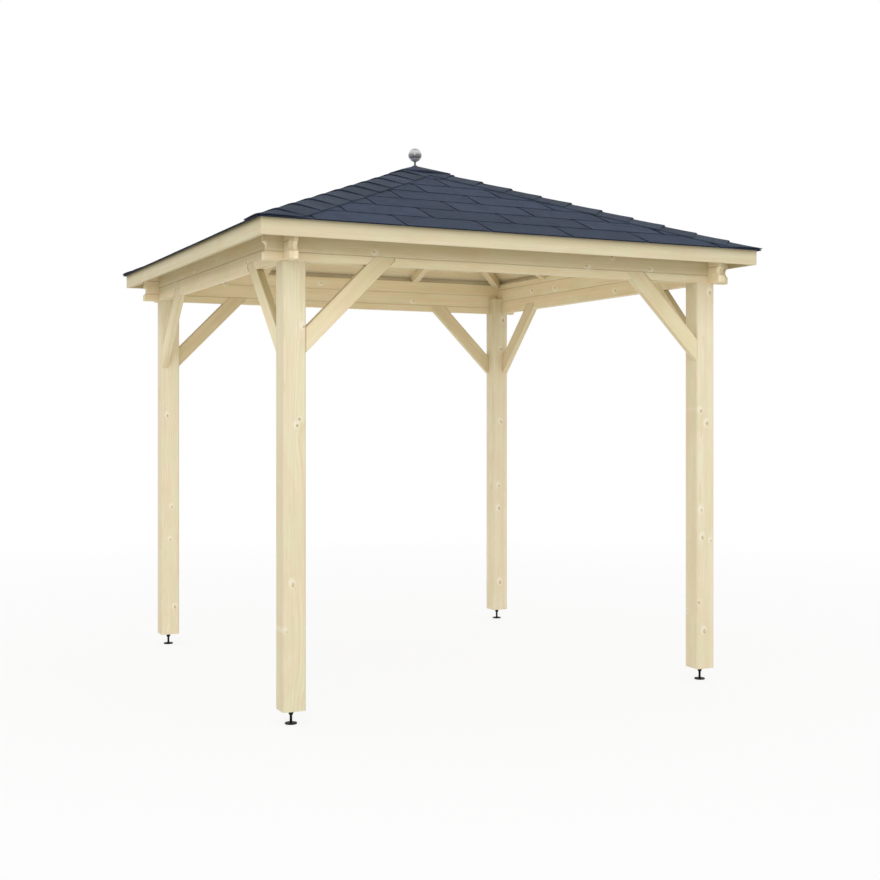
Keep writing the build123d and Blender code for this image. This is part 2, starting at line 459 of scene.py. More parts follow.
def knotted(g, colour, point, heart, pale):
    """Adds the pale wood, the core and the broken rim of the knots to a colour."""
    core = g.span(heart, *CORE_RAMP)
    rim = g.math("MULTIPLY", g.span(heart, *RIM_RISE), g.span(heart, *RIM_FALL))
    rim = g.math("MULTIPLY", rim, g.span(g.noise(point, BROKEN_SCALE, 1.0), *BROKEN_RAMP))
    halo = g.math("MULTIPLY", g.span(pale, *HALO_RISE), g.span(heart, *HALO_FALL))
    for depth, (share, knot_colour) in ((halo, KNOT_HALO), (core, KNOT_WOOD), (rim, KNOT_RIM)):
        colour = g.mix(g.math("MULTIPLY", depth, share), colour, knot_colour)
    return colour


def wood(name, grain, seed, colours=PLANK_WOOD, pith=PITH, knots=(), tone=None, courses=None):
    """Planed spruce. grain gives the point as (across, across, along the fibres), in metres.

    colours are those of early and late wood. pith is where the origin of grain lies, seen
    from the middle of the rings. knots lists (centre, radius, mask) of branches, where the
    mask's zero is the direction that the branch runs in. tone gives what the colour is
    multiplied with: painted light and shade, warmer where it darkens. courses is given for
    stacked planks, as stacked() takes it."""
    g = Graph(name)
    early, late = colours
    fixed = grain(g)
    local = fixed
    if courses:
        local, joint = stacked(g, fixed, courses)
    point = g.vector("ADD", local, tuple(seed * jump for jump in SEED_JUMP))
    heart, pale = knot_depths(g, point, fixed, knots)
    late_share = late_wood(g, local, point, pith, heart)
    fibre = g.noise(point, FIBRE_SCALE, *FINE_DETAIL)
    streak = g.noise(point, STREAK_SCALE)
    patch = g.noise(point, PATCH_SCALE, *FINE_DETAIL)
    hue = g.noise(point, HUE_SCALE)

    colour = g.mix(g.math("MULTIPLY", late_share, LATE_SHARE), early, late)
    colour = g.mix(g.span(streak, *STREAK_RAMP), colour, late)
    colour = g.mix(g.span(patch, *PATCH_RAMP), colour, blended(early, late, PATCH_SHARE))
    colour = g.shaded(colour, g.span(fibre, *FIBRE_RAMP))
    colour = g.mix(g.span(hue, *ROSY_RAMP), colour, blended(early, ROSY_WOOD, TINT_SHARE))
    colour = g.mix(g.span(hue, *GREEN_RAMP), colour, blended(early, GREEN_WOOD, TINT_SHARE))
    colour = knotted(g, colour, point, heart, pale)
    # The tone paints light and shade into the colour, warmer where it darkens
    if tone:
        red = tone(g)
        painted_shading = g.join(red, g.math("POWER", red, SHADE_GREEN), g.math("POWER", red, SHADE_BLUE))
        colour = g.mix(1.0, colour, painted_shading, "MULTIPLY")
    if courses:
        colour = g.mix(joint, colour, g.shaded(colour, SEAM_TONE))
    g.put(g.shader.inputs["Base Color"], colour)
    rough = g.math("ADD", g.math("MULTIPLY", fibre, FIBRE_ROUGHNESS), WOOD_ROUGHNESS)
    g.put(g.shader.inputs["Roughness"], rough)
    g.put(g.shader.inputs["Specular IOR Level"], WOOD_SPECULAR)
    relief = g.math("MULTIPLY", late_share, LATE_RELIEF)
    relief = g.math("ADD", g.math("MULTIPLY", fibre, FIBRE_RELIEF), relief)
    if courses:
        relief = g.math("SUBTRACT", relief, g.math("MULTIPLY", joint, SEAM_DEPTH))
    g.bump(relief, WOOD_RELIEF)
    return g.material


def plain(value):
    """A tone that is the same everywhere."""
    return lambda g: value


def beyond(direction, low, high, tone_low, tone_high):
    """A tone that changes between two distances along a direction."""
    return lambda g: g.span(g.vector("DOT_PRODUCT", g.place(), direction), low, high, tone_low, tone_high)


def by_height(low, high, tone_low, tone_high):
    return beyond(Z_AXIS, low, high, tone_low, tone_high)


def product(first, second):
    """Two tones multiplied."""
    return lambda g: g.math("MULTIPLY", first(g), second(g))


# Half the width in which the painted light and shade go over from the inner face to the outer one
FACE_BLEND = 0.003


def by_face(outwards, inner, outer):
    """Painted light and shade: one tone for the inner face of the ring's planks and braces and another for
    the outer one.
    """

    def tone(g):
        reach = g.vector("DOT_PRODUCT", g.place(), outwards)
        share = g.span(reach, BEAM_MIDDLE - FACE_BLEND, BEAM_MIDDLE + FACE_BLEND)
        rest = g.math("MULTIPLY", g.math("SUBTRACT", 1.0, share), inner(g))
        return g.math("ADD", g.math("MULTIPLY", share, outer(g)), rest)

    return tone


def along(axes, origin=(0, 0, 0)):
    """Coordinates for wood(): the object's own, turned so that the fibres run along the third axis."""

    def grain(g):
        point = g.vector("SUBTRACT", g.place(), origin)
        return g.join(*[g.vector("DOT_PRODUCT", point, axis) for axis in axes])

    return grain


def from_mesh(g):
    """Coordinates for wood() that each board carries in its mesh."""
    return g.attribute("grain", "Vector")


# Shingle colours
SLATE = srgb(50, 61, 82)
SLATE_LIGHT = srgb(73, 85, 103)
SLATE_DARK = srgb(35, 43, 60)
CAP_SLATE = srgb(58, 68, 81)
BITUMEN = srgb(26, 35, 53)
BITUMEN_WORN = srgb(43, 54, 77)

# Mineral granules: scales, ramps to the shares of light ones, dark ones and dark clouds, and finish
GRANULE_SCALE = 520.0
CLOUD_SCALE = 9.0
LIGHT_RAMP = (0.55, 1.0, 0.0, 0.7)
DARK_RAMP = (0.4, 0.0, 0.0, 0.7)
CLOUD_RAMP = (0.4, 0.7, 0.0, 0.35)
TONE_RAMP = (0.0, 1.0, 0.88, 1.12)
MINERAL_ROUGHNESS = (0.0, 1.0, 0.8, 0.95)
MINERAL_SPECULAR = 0.2
GRANULE_RELIEF = 0.0006

# Bitumen: scale of its noise, roughness over it, and relief
TAR_SCALE = 160.0
TAR_ROUGHNESS = (0.2, 0.8, 0.7, 0.95)
TAR_RELIEF = 0.0008


def mineral(name, base):
    """Mineral granules pressed into bitumen: a fine salt and pepper with slow tone changes."""
    g = Graph(name)
    place = g.place()
    granules = g.add("ShaderNodeTexVoronoi", {"Vector": place, "Scale": GRANULE_SCALE})
    pick = g.parts(granules.outputs["Color"])[0]
    clouds = g.noise(place, CLOUD_SCALE, 3.0)
    colour = g.mix(g.span(pick, *LIGHT_RAMP), base, SLATE_LIGHT)
    colour = g.mix(g.span(pick, *DARK_RAMP), colour, SLATE_DARK)
    colour = g.mix(g.span(clouds, *CLOUD_RAMP), colour, SLATE_DARK)
    colour = g.shaded(colour, g.span(g.attribute("tone"), *TONE_RAMP))
    g.put(g.shader.inputs["Base Color"], colour)
    g.put(g.shader.inputs["Roughness"], g.span(pick, *MINERAL_ROUGHNESS))
    g.put(g.shader.inputs["Specular IOR Level"], MINERAL_SPECULAR)
    g.bump(g.math("MULTIPLY", granules.outputs["Distance"], -1.0), GRANULE_RELIEF)
    return g.material


def bitumen():
    """Bare bitumen, as the edges and undersides of shingles show it."""
    g = Graph("bitumen_edge")
    tar = g.noise(g.place(), TAR_SCALE, 3.0)
    g.put(g.shader.inputs["Base Color"], g.mix(tar, BITUMEN, BITUMEN_WORN))
    g.put(g.shader.inputs["Roughness"], g.span(tar, *TAR_ROUGHNESS))
    g.bump(tar, TAR_RELIEF)
    return g.material


# Metal colours
BLACK = srgb(10, 10, 12)
BLACK_WORN = srgb(24, 24, 26)
STEEL_DARK = srgb(102, 102, 104)
STEEL_LIGHT = srgb(142, 142, 142)
# A painted highlight and a painted reflection for the ball
STEEL_PAINTED_HIGHLIGHT = srgb(240, 240, 240)
STEEL_PAINTED_REFLECTION = srgb(245, 245, 245)
STEEL_STEM = srgb(78, 78, 80)

# Finishes of the metals: scales of their noises, roughness over them, and relief
COAT_SCALE = 400.0
COAT_ROUGHNESS = (0.2, 0.8, 0.5, 0.7)
COAT_SPECULAR = 0.25
COAT_RELIEF = 0.0001
SMEAR_SCALE = (30.0, 30.0, 90.0)
STEEL_ROUGHNESS = (0.2, 0.8, 0.2, 0.32)
STEEL_METALLIC = 0.65
STEEL_RELIEF = 0.0002

# Ramps over the height on the ball, in radii from its middle: the painted highlight, the painted reflection
# at its foot, and the stem
HIGHLIGHT_RISE = (-0.15, 0.42, 0.0, 0.62)
HIGHLIGHT_FALL = (0.95, 0.48)
REFLECTION_RISE = (-0.98, -0.9)
REFLECTION_FALL = (-0.45, -0.6)
STEM_RAMP = (-0.95, -1.1)


def black_steel():
    """Black coated steel for the feet."""
    g = Graph("black_coated_steel")
    coat = g.noise(g.place(), COAT_SCALE)
    g.put(g.shader.inputs["Base Color"], g.mix(coat, BLACK, BLACK_WORN))
    g.put(g.shader.inputs["Roughness"], g.span(coat, *COAT_ROUGHNESS))
    g.put(g.shader.inputs["Specular IOR Level"], COAT_SPECULAR)
    g.bump(coat, COAT_RELIEF)
    return g.material


def polished_steel():
    """Steel for the ball, with a painted highlight as a bright band, a painted reflection as a light spot
    at its foot, and a darker stem.
    """
    g = Graph("polished_steel")
    smear = g.noise(g.place(), SMEAR_SCALE, 3.0)
    low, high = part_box("roof_ball")
    radius = (high.x - low.x) / 2
    level = g.math("DIVIDE", g.math("SUBTRACT", g.parts(g.place())[2], high.z - radius), radius)
    # Painted highlight in a band above the middle, and a painted reflection near the foot
    painted_highlight = g.math("MULTIPLY", g.span(level, *HIGHLIGHT_RISE), g.span(level, *HIGHLIGHT_FALL))
    painted_reflection = g.math("MULTIPLY", g.span(level, *REFLECTION_RISE), g.span(level, *REFLECTION_FALL))
    colour = g.mix(smear, STEEL_DARK, STEEL_LIGHT)
    colour = g.mix(painted_highlight, colour, STEEL_PAINTED_HIGHLIGHT)
    colour = g.mix(painted_reflection, colour, STEEL_PAINTED_REFLECTION)
    colour = g.mix(g.span(level, *STEM_RAMP), colour, STEEL_STEM)
    g.put(g.shader.inputs["Base Color"], colour)
    g.put(g.shader.inputs["Roughness"], g.span(smear, *STEEL_ROUGHNESS))
    g.put(g.shader.inputs["Metallic"], STEEL_METALLIC)
    g.bump(smear, STEEL_RELIEF)
    return g.material


# Numbers of the materials of shingles and caps. Other pieces have one material, the first
MINERAL, BARE = 0, 1


class Shape:
    """Collects the points and faces of one piece, with one tone or grain value a point."""

    def __init__(self):
        self.points = []
        self.faces = []
        self.kinds = []
        self.values = []

    def add(self, point, value):
        self.points.append(point)
        self.values.append(value)
        return len(self.points) - 1

    def face(self, corners, kind=MINERAL):
        self.faces.append(corners)
        self.kinds.append(kind)

    def slab(self, top, bottom, value, top_kind, edge_kinds):
        """A closed plate between two outlines that have the same number of points."""
        count = len(top)
        upper = [self.add(p, value) for p in top]
        lower = [self.add(p, value) for p in bottom]
        self.face(upper, top_kind)
        self.face(lower[::-1], BARE)
        for i in range(count):
            j = (i + 1) % count
            self.face([upper[j], upper[i], lower[i], lower[j]], edge_kinds[i])

    def sheet(self, rows, value, thick, side_extra):
        """A closed plate over a grid of points, thick downwards, and more at the two sides."""
        high, wide = len(rows), len(rows[0])
        upper = [[self.add(p, value) for p in row] for row in rows]
        lower = []
        for row in rows:
            drops = [thick + (side_extra if j in (0, wide - 1) else 0.0) for j in range(wide)]
            lower.append([self.add(p - Vector((0, 0, drop)), value) for p, drop in zip(row, drops)])
        for i in range(high - 1):
            for j in range(wide - 1):
                self.face([upper[i][j], upper[i + 1][j], upper[i + 1][j + 1], upper[i][j + 1]])
                self.face([lower[i][j], lower[i][j + 1], lower[i + 1][j + 1], lower[i + 1][j]], BARE)
        ring = [(0, j) for j in range(wide)] + [(i, wide - 1) for i in range(1, high)]
        ring += [(high - 1, j) for j in range(wide - 2, -1, -1)] + [(i, 0) for i in range(high - 2, 0, -1)]
        for k in range(len(ring)):
            a, b = ring[k], ring[(k + 1) % len(ring)]
            corners = [upper[a[0]][a[1]], upper[b[0]][b[1]], lower[b[0]][b[1]], lower[a[0]][a[1]]]
            self.face(corners, BARE if a[0] == b[0] == high - 1 else MINERAL)

    def ring(self, middle, profile, segments):
        """A closed profile of (radius, height) turned about a vertical line."""
        spokes = []
        for i in range(segments):
            angle = 2 * math.pi * i / segments
            around = Vector((math.cos(angle), math.sin(angle), 0))
            spoke = [middle + around * radius + Vector((0, 0, z)) for radius, z in profile]
            spokes.append([self.add(point, METAL_TONE) for point in spoke])
        for i in range(segments):
            spoke, after = spokes[i], spokes[(i + 1) % segments]
            for j in range(len(profile)):
                k = (j + 1) % len(profile)
                self.face([spoke[j], spoke[k], after[k], after[j]])

    def piece(self, name, materials, attribute="tone"):
        mesh = bpy.data.meshes.new(name)
        mesh.from_pydata(self.points, [], self.faces)
        for material in materials:
            mesh.materials.append(material)
        mesh.polygons.foreach_set("material_index", self.kinds)
        if attribute == "tone":
            mesh.attributes.new(attribute, "FLOAT", "POINT").data.foreach_set("value", self.values)
        else:
            flat = [part for value in self.values for part in value]
            mesh.attributes.new(attribute, "FLOAT_VECTOR", "POINT").data.foreach_set("vector", flat)
        mesh.update()
        made = bpy.data.objects.new(name, mesh)
        bpy.context.scene.collection.objects.link(made)
        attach(made, "root")
        return made


def on_slope(x, down, out, angle):
    """A point of the roof: x along the eaves, down the slope from the tip, out of the boards' top."""
    y = -(down * math.cos(PITCH) + out * math.sin(PITCH))
    z = DECK_TIP - down * math.sin(PITCH) + out * math.cos(PITCH)
    return turn(angle) @ Vector((x, y, z))


def clipped(outline, side, gap):
    """Cuts an (x, down) outline at the left (-1) or right (1) hip line."""

    def room(point):
        return point[1] * math.cos(PITCH) - gap - side * point[0]

    kept = []
    for i, point in enumerate(outline):
        after = outline[(i + 1) % len(outline)]
        a, b = room(point), room(after)
        if a >= 0:
            kept.append(point)
        if (a >= 0) != (b >= 0):
            share = a / (a - b)
            kept.append(tuple(p + share * (q - p) for p, q in zip(point, after)))
    return kept


def between_hips(outline, gap):
    return clipped(clipped(outline, 1, gap), -1, gap)


def tab_edges(outline, foot, worn):
    """The materials of a tab's edges: its foot shows granules, unless it is worn, and the rest is bare."""
    kinds = []
    for i, point in enumerate(outline):
        after = outline[(i + 1) % len(outline)]
        at_foot = min(point[1], after[1]) > foot - TAB_FOOT_NEAR
        kinds.append(MINERAL if at_foot and not worn else BARE)
    return kinds


def shingle_slope(side, angle, materials):
    """Courses of tabbed strips on a felt, from the eaves up to the tip."""
    shape = Shape()
    draw = random.Random(f"shingles {side}")
    eaves = SHINGLE_REACH / math.cos(PITCH) - TAB_STAND * SLOPE
    felt = [(-eaves, eaves), (eaves, eaves), (FELT_TIP, FELT_TIP), (-FELT_TIP, FELT_TIP)]
    felt = between_hips(felt, 0.0)
    top = [on_slope(x, down, FELT_THICK, angle) for x, down in felt]
    bottom = [on_slope(x, down, 0.0, angle) for x, down in felt]
    shape.slab(top, bottom, FELT_TONE, BARE, [BARE] * len(felt))
    course = 0
    while eaves - course * COURSE > SHORTEST_COURSE:
        butt = eaves - course * COURSE
        head = max(butt - COURSE, TAB_TIP_ROOM)
        start = TAB_START[course % 2]
        first = math.ceil((-butt - start) / TAB_PITCH) - 1
        for tab in range(first, -first + 2):
            left = start + tab * TAB_PITCH + TAB_SLOT / 2
            left += draw.uniform(-TAB_SIDE_DRIFT, TAB_SIDE_DRIFT)
            right = start + (tab + 1) * TAB_PITCH - TAB_SLOT / 2
            right += draw.uniform(-TAB_SIDE_DRIFT, TAB_SIDE_DRIFT)
            foot = butt + min(draw.uniform(-TAB_FOOT_DRIFT, TAB_FOOT_DRIFT), 0)
            tone = draw.random()
            curl = draw.uniform(0.0, TAB_CURL)
            outline = [(left, foot), (right, foot), (right, head), (left, head)]
            outline = between_hips(outline, TAB_HIP_ROOM)
            if len(outline) < 3:
                continue
            top, bottom = [], []
            for x, down in outline:
                share = (down - head) / (butt - head)
                out = FELT_THICK + TAB_THICK + share * (TAB_THICK - TAB_OVERLAP + curl)
                top.append(on_slope(x, down, out, angle))
                bottom.append(on_slope(x, down, out - TAB_THICK - curl, angle))
            shape.slab(top, bottom, tone, MINERAL, tab_edges(outline, foot, worn=course == 0))
        course += 1
    made = shape.piece(f"{side}_shingle_courses", materials)
    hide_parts(f"{side}_shingles")


def hip_point(a, across, out, angle):
    """A point over the front right hip: a and across are plan distances along and off the hip."""
    fold = math.hypot(across, CAP_FOLD) / math.sqrt(2)
    off = across / math.sqrt(2)
    z = DECK_TIP - SLOPE * (a + fold) + out / math.cos(PITCH)
    return turn(angle) @ Vector((a + off, -(a - off), z))


def hip_cap_line(shape, corner, angle):
    """Folded caps lapped from the eaves up to the tip."""
    draw = random.Random(f"caps {corner}")
    cap = 0
    while SHINGLE_REACH - cap * CAP_STEP > CAP_START + CAP_STEP / 2:
        low = SHINGLE_REACH - cap * CAP_STEP
        high = max(low - CAP_STEP - CAP_LAP, CAP_START)
        half = CAP_HALF + draw.uniform(-CAP_SIDE_DRIFT, CAP_SIDE_DRIFT)
        tone = draw.random()
        curl = draw.uniform(0.0, CAP_CURL)
        rows = []
        for share in CAP_ROWS:
            row = []
            for part in CAP_COLUMNS:
                across = part * half
                end = min(low, SHINGLE_REACH - abs(across) / math.sqrt(2))
                begin = min(high, end - CAP_SHORTEST)
                a = begin + share * (end - begin)
                raised = (CAP_THICK + CAP_LIFT + curl) * (1.0 - CAP_SIDE_PRESS * part * part)
                out = CAP_BASE + CAP_THICK + share * share * raised
                row.append(hip_point(a, across, out, angle))
            rows.append(row)
        shape.sheet(rows, tone, CAP_THICK, CAP_SKIRT)
        cap += 1


def apex_cover(materials):
    """A square cap over the tip, bent down to the four slopes."""
    shape = Shape()
    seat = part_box("apex_cap")[1].z
    rim = [(1, -1), (0, -1), (-1, -1), (-1, 0), (-1, 1), (0, 1), (1, 1), (1, 0), (1, -1)]
    tops = []
    for half in APEX_RINGS:
        share = max(half - APEX_FLAT, 0.0) / (APEX_HALF - APEX_FLAT)
        row = []
        for x, y in rim:
            edge = APEX_RIM_CORNER if x and y else APEX_RIM_MIDDLE
            edge_z = DECK_TIP - SLOPE * APEX_HALF + edge / math.cos(PITCH)
            row.append(Vector((x * half, y * half, seat + share * (edge_z - seat))))
        tops.append(row)
    drop = Vector((0, 0, -APEX_THICK))

    def patch(corners, kind):
        shape.face([shape.add(p, APEX_TONE) for p in corners], kind)

    for upper, lower in zip(tops, tops[1:]):
        for j in range(len(rim) - 1):
            quad = [upper[j], upper[j + 1], lower[j + 1], lower[j]]
            patch(quad, MINERAL)
            patch([p + drop for p in reversed(quad)], BARE)
    for j in range(len(rim) - 1):
        a, b = tops[-1][j], tops[-1][j + 1]
        a_drop, b_drop = (drop if k % 2 == 0 else 2 * drop for k in (j, j + 1))
        patch([a, b, b + b_drop, a + a_drop], BARE)
    made = shape.piece("apex_cover", materials)
    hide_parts("apex_cap")


def roof_boarding(side, angle, material):
    """Boards along the eaves, chamfered where they show from below; their tongues and grooves are not
    drawn.
    """
    shape = Shape()
    draw = random.Random(f"boards {side}")
    length = BOARDS_REACH / math.cos(PITCH)
    count = round(length / BOARD_COVER)
    cover = (length - BOARD_TIP_ROOM) / count
    for board in range(count):
        low = length - board * cover - (BOARD_JOINT if board else 0.0)
        high = length - (board + 1) * cover
        shift = Vector([draw.uniform(-most, most) for most in BOARD_SHIFTS])
        profile = [
            (high, 0.0),
            (low, 0.0),
            (low, -BOARD_THICK + BOARD_CHAMFER),
            (low - BOARD_CHAMFER, -BOARD_THICK),
            (high + BOARD_CHAMFER, -BOARD_THICK),
            (high, -BOARD_THICK + BOARD_CHAMFER),
        ]
        ends = []
        for sign in (-1, 1):
            end = []
            for down, out in profile:
                x = sign * (down * math.cos(PITCH) + out * math.sin(PITCH) - BOARD_HIP_ROOM)
                end.append(shape.add(on_slope(x, down, out, angle), Vector((down, out, x)) + shift))
            ends.append(end)
        shape.face(ends[0])
        shape.face(ends[1][::-1])
        for i in range(len(profile)):
            j = (i + 1) % len(profile)
            shape.face([ends[0][j], ends[0][i], ends[1][i], ends[1][j]])
    made = shape.piece(f"{side}_boarding", [material], attribute="grain")
    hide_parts(f"{side}_roof_boards")


def foot_thread(corner, material):
    """The rolled thread on the rod, a washer under the post and a lock nut under its own washer."""
    shape = Shape()
    low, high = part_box(f"{corner}_foot")
    middle = (low + high) / 2
    post_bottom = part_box(f"{corner}_post")[0].z
    turns = int((post_bottom - THREAD_POST_ROOM - THREAD_LOW) / THREAD_PITCH)
    root, crest = ROD_RADIUS + THREAD_ROOT, ROD_RADIUS + THREAD_DEPTH
    rows = []
    for step in range(turns * THREAD_STEPS + 1):
        angle = 2 * math.pi * step / THREAD_STEPS
        z = THREAD_LOW + THREAD_PITCH * step / THREAD_STEPS
        pair = []
        for radius, rise in ((root, 0.0), (crest, THREAD_PITCH / 2)):
            point = Vector((math.cos(angle) * radius, math.sin(angle) * radius, z + rise))
            pair.append(shape.add(point + Vector((middle.x, middle.y, 0)), METAL_TONE))
        rows.append(pair)
    for k in range(len(rows) - 1):
        shape.face([rows[k][0], rows[k + 1][0], rows[k + 1][1], rows[k][1]])
        above = k + THREAD_STEPS
        if above + 1 < len(rows):
            shape.face([rows[k][1], rows[k + 1][1], rows[above + 1][0], rows[above][0]])
    for outer, top, thick, segments in (WASHER, LOCK_WASHER, LOCK_NUT):
        edge = min(WASHER_EDGE, thick / 4)
        profile = [
            (WASHER_BORE, 0),
            (outer - edge, 0),
            (outer, -edge),
            (outer, edge - thick),
            (outer - edge, -thick),
            (WASHER_BORE, -thick),
        ]
        shape.ring(Vector((middle.x, middle.y, post_bottom - top)), profile, segments)
    shape.piece(f"{corner}_foot_thread", [material])


def soften(name, width):
    """Rounds the sawn edges of a solid without changing it."""
    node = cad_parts[name]
    weld = node.modifiers.new("weld", "WELD")
    weld.merge_threshold = SAME_POINT
    flat = node.modifiers.new("flat", "DECIMATE")
    flat.decimate_type = "DISSOLVE"
    flat.angle_limit = FLAT_ANGLE
    bevel = node.modifiers.new("soften", "BEVEL")
    bevel.width = width
    bevel.segments = ROUND_STEPS
    bevel.limit_method = "ANGLE"
    bevel.angle_limit = EDGE_ANGLE
    bevel.harden_normals = False


def paint(name, material):
    """Gives all of a solid one material."""
    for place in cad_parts[name].material_slots:
        place.material = material


# Painted light and shade of the beams: inner face, lower planks and upper planks outside, which the painted
# shade of the eaves darkens
BEAM_PAINTED_LIGHTING = {
    "front": (1.10, 0.95, 0.79),
    "back": (1.12, 0.95, 0.79),
    "left": (1.12, 1.0, 0.86),
    "right": (1.12, 1.0, 0.86),
}
EAVES_SHADE = (2.30, 2.35)
# Painted shadow along the top of the inner face, where the roof boards meet it: its span below the top, and
# its tone
INNER_TOP_SHADE = (0.014, 0.003)
INNER_TOP_PAINTED_SHADOW = 0.62

# Painted shade of the braces: inner face, outer face low and high, darker high up under the eaves, and
# their upper side, which faces into the shaded corner
BRACE_SHADE = (1.92, 2.33)
BRACE_INNER_PAINTED_SHADE = 0.98
BRACE_PAINTED_SHADE = {"front": (1.0, 0.85), "back": (1.0, 0.85), "left": (1.03, 0.89), "right": (1.03, 0.89)}
BRACE_TOP_SHADE = (0.006, 0.002)
BRACE_TOP_PAINTED_SHADE = 0.74

# Painted shade on the posts by height under the eaves, and then painted light on the front face and on the
# other faces
POST_SHADE = (2.00, 2.29, 1.0, 0.87)
POST_FACE = (0.001, 0.004)
POST_PAINTED_LIGHTING = {
    "front_left": (0.95, 0.89),
    "front_right": (0.99, 0.97),
    "back_left": (1.08, 0.95),
    "back_right": (1.04, 1.02),
}

# Painted shade of a fascia: its tone, and how far down its painted shadow under the shingles' edge reaches
FASCIA_PAINTED_SHADE = {"front": (1.0, 0.016), "back": (1.0, 0.016), "left": (0.93, 0.034), "right": (0.93, 0.034)}
# A wider painted shade, darker towards the top from a share of the height up, and where the painted shadow
# under the edge starts, and its tone
FASCIA_LOW_TONE = 0.85
FASCIA_HIGH_TONE = 0.62
FASCIA_LOW_SHARE = 0.3
EDGE_SHADOW_START = 0.004
EDGE_SHADOW_TONE = 0.5


def dress_posts():
    for index, (corner, angle) in enumerate(CORNERS.items()):
        low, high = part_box(f"{corner}_post")
        middle = (low + high) / 2
        grain = along((X_AXIS, Y_AXIS, Z_AXIS), (middle.x, middle.y, 0))
        knots = []
        for height, across, radius in POST_KNOTS[corner]:
            knots.append(((across, 0.0, height), radius, POST_KNOT_MASK))
        # Painted light on the front face and the other faces, and painted shade high up under the eaves
        front = beyond(Y_AXIS, *[low.y + depth for depth in POST_FACE], *POST_PAINTED_LIGHTING[corner])
        tone = product(by_height(*POST_SHADE), front)
        pith = POST_PITHS[corner]
        post = wood(f"spruce_{corner}_post", grain, index + POST_SEED, POST_WOOD, pith, knots, tone)
        paint(f"{corner}_post", post)
        out = turn(angle) @ Vector((HALF, -HALF, 0))
        hip_grain = along((tuple(turn(90) @ out), Z_AXIS, tuple(out)))
        paint(f"{corner}_hip_rafter", wood(f"spruce_{corner}_hip", hip_grain, index + HIP_SEED))


def dress_beam(index, side, grain, outwards):
    inner, lower, upper = BEAM_PAINTED_LIGHTING[side]
    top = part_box(f"{side}_beam")[1].z
    # Painted light on the inner face with a painted shadow along its top, and painted eaves shade outside
    inner_tone = by_height(*[top - depth for depth in INNER_TOP_SHADE], inner, INNER_TOP_PAINTED_SHADOW)
    tone = by_face(outwards, inner_tone, by_height(*EAVES_SHADE, lower, upper))
    lowest = RING_UNDER - PLANK_HEIGHT / 2 if index % 2 == 0 else RING_UNDER
    courses = (lowest, PLANK_HEIGHT)
    knots = []
    for distance, height, radius in BEAM_KNOTS[side]:
        knots.append(((0.0, height, distance), radius, BEAM_KNOT_MASK))
    seed = index + BEAM_SEED
    paint(f"{side}_beam", wood(f"spruce_{side}_beam", grain, seed, knots=knots, tone=tone, courses=courses))
    soften(f"{side}_beam", BEAM_ROUND)


def dress_fascia(index, side, grain):
    low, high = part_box(f"{side}_fascia")
    level, shadow_depth = FASCIA_PAINTED_SHADE[side]
    # Painted shade darker towards the top, and a painted shadow just under the shingles' edge
    start = low.z + FASCIA_LOW_SHARE * (high.z - low.z)
    wide = by_height(start, high.z, FASCIA_LOW_TONE * level, FASCIA_HIGH_TONE * level)
    edge_shadow = by_height(high.z - shadow_depth, high.z - EDGE_SHADOW_START, 1.0, EDGE_SHADOW_TONE)
    seed = index + FASCIA_SEED
    paint(f"{side}_fascia", wood(f"spruce_{side}_fascia", grain, seed, POST_WOOD, tone=product(wide, edge_shadow)))
    soften(f"{side}_fascia", FASCIA_ROUND)


def dress_braces(index, side, angle, outwards):
    for hand, sign in (("right", 1), ("left", -1)):
        name = f"{side}_{hand}_brace"
        rising = tuple(turn(angle) @ Vector((-sign * HALF, 0, HALF)))
        square = tuple(turn(angle) @ Vector((sign * HALF, 0, HALF)))
        top = max(point.co.dot(Vector(square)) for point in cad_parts[name].data.vertices)
        # Painted shade on the upper side, and under the eaves on the outer face
        upper_side = beyond(square, *[top - depth for depth in BRACE_TOP_SHADE], 1.0, BRACE_TOP_PAINTED_SHADE)
        outer_tone = by_height(*BRACE_SHADE, *BRACE_PAINTED_SHADE[side])
        tone = product(by_face(outwards, plain(BRACE_INNER_PAINTED_SHADE), outer_tone), upper_side)
        grain = along((outwards, square, rising))
        paint(name, wood(f"spruce_{name}", grain, index + BRACE_SEEDS[hand], tone=tone))
        soften(name, BRACE_ROUND)


def dress_timber():
    dress_posts()
    for index, (side, angle) in enumerate(SIDES.items()):
        lengthwise = tuple(turn(angle) @ Vector(X_AXIS))
        outwards = tuple(turn(angle) @ Vector((0, -1, 0)))
        grain = along((outwards, Z_AXIS, lengthwise))
        dress_beam(index, side, grain, outwards)
        dress_fascia(index, side, grain)
        rafter_grain = along((lengthwise, Z_AXIS, outwards))
        paint(f"{side}_jack_rafters", wood(f"spruce_{side}_jacks", rafter_grain, index + JACK_SEED))
        dress_braces(index, side, angle, outwards)


def dress_roof():
    strip = [mineral("slate_blue_shingle", SLATE), bitumen()]
    cap = [mineral("slate_grey_cap", CAP_SLATE), strip[1]]
    board = wood("spruce_roof_boards", from_mesh, BOARD_SEED)
    for side, angle in SIDES.items():
        shingle_slope(side, angle, strip)
        roof_boarding(side, angle, board)
    caps = Shape()
    for corner, angle in CORNERS.items():
        hip_cap_line(caps, corner, angle)
    made = caps.piece("hip_cap_lines", cap)
    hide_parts("hip_caps")
    apex_cover(cap)


def dress_metal():
    black = black_steel()
    for corner in CORNERS:
        paint(f"{corner}_foot", black)
        foot_thread(corner, black)
    paint("roof_ball", polished_steel())


# Studio floor: half its width, and its share of plain white by the distance from the middle
FLOOR_HALF = 30.0
FLOOR_FADE = (4.0, 9.0, 0.84, 1.0)
FLOOR_GREY = (0.8, 0.8, 0.8, 1)
WHITE = (1, 1, 1, 1)


